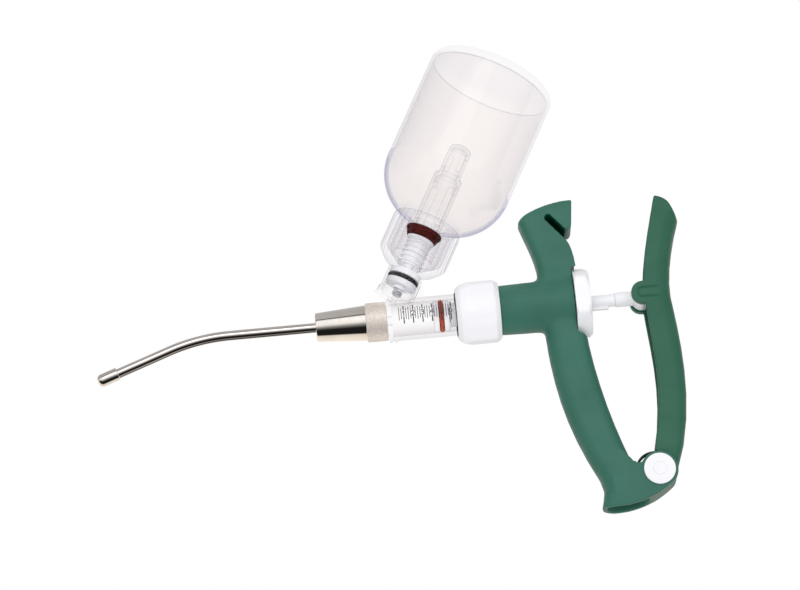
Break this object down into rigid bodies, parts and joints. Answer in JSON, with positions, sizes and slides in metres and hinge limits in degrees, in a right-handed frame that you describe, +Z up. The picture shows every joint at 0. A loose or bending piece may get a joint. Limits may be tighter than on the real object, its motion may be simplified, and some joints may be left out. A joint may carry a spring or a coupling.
{
  "type": "drenching syringe",
  "caption": "Hand-held drenching syringe: squeeze lever drives a piston in a clear barrel, fed by a bottle on top, out through a bent metal drench tube.",
  "frame": {"origin": "middle of the hand grip, on the middle plane", "axes": "+X along the barrel towards the lever, +Z up towards the bottle, Y across the object"},
  "size_m": [0.2969, 0.066, 0.2473],
  "materials": {
    "green_plastic": "fine moulded texture",
    "white_plastic": "smooth moulded",
    "black_rubber": "moulded seal",
    "red_rubber": "moulded seal",
    "orange_rubber": "moulded seal",
    "clear_plastic": "clear",
    "clear_bottle": "clear",
    "nickel": "turned, blasted collar",
    "polished_metal": "polished",
    "spring_steel": "drawn wire",
    "black_spring": "blackened wire"
  },
  "bodies": {
    "syringe_body": {"handle_frame": "green_plastic", "union_nut": "white_plastic", "mouth_seal": "black_rubber", "barrel": "clear_plastic", "barrel_gasket": "black_rubber", "nozzle_hub": "nickel", "nozzle_seal": "black_rubber", "outlet_spring": "spring_steel", "drench_tube": "polished_metal", "drench_tip": "polished_metal", "bottle_adapter": "clear_plastic", "port_oring": "black_rubber", "inlet_spring": "spring_steel", "neck_seal": "red_rubber", "draw_spike": "clear_plastic", "hinge_pin": "white_plastic", "hinge_cap": "white_plastic", "torsion_spring": "black_spring"},
    "lever": {"lever": "green_plastic"},
    "plunger": {"piston": "white_plastic", "piston_ring": "orange_rubber", "plunger_rod": "white_plastic", "rod_end": "white_plastic"},
    "dose_knob": {"dose_knob": "white_plastic", "stop_sleeve": "white_plastic"},
    "bottle": {"bottle": "clear_bottle"},
    "outlet_valve": {"outlet_valve": "orange_rubber"},
    "inlet_valve": {"inlet_valve": "white_plastic"}
  },
  "joints": [
    {"name": "lever_squeeze", "type": "hinge", "parent": "syringe_body", "child": "lever", "pos_m": [0.0337, 0, -0.0405], "axis": [0, -1, 0], "range_deg": [0, 12.1], "stiffness_Nm_per_rad": 0.5, "springref_deg": -20.05, "deforming": ["torsion_spring"]},
    {"name": "plunger_slide", "type": "slide", "parent": "syringe_body", "child": "plunger", "axis": [-1, 0, 0], "range_m": [0, 0.0192]},
    {"name": "dose_knob_turn", "type": "hinge", "parent": "syringe_body", "child": "dose_knob", "pos_m": [0.0045, 0, 0.05], "axis": [1, 0, 0], "continuous": true},
    {"name": "bottle_lift", "type": "slide", "parent": "syringe_body", "child": "bottle", "axis": [0.4695, 0, 0.8829], "range_m": [0, 0.014]},
    {"name": "outlet_valve_lift", "type": "slide", "parent": "syringe_body", "child": "outlet_valve", "axis": [-1, 0, 0], "range_m": [0, 0.0012], "stiffness_N_per_m": 60, "springref_m": -0.002, "deforming": ["outlet_spring"]},
    {"name": "inlet_valve_lift", "type": "slide", "parent": "syringe_body", "child": "inlet_valve", "axis": [-0.4695, 0, -0.8829], "range_m": [0, 0.0012], "stiffness_N_per_m": 60, "springref_m": -0.002, "deforming": ["inlet_spring"]}
  ],
  "couplings": [
    {"joint": "plunger_slide", "follows": "lever_squeeze", "m_per_rad": 0.0909}
  ]
}
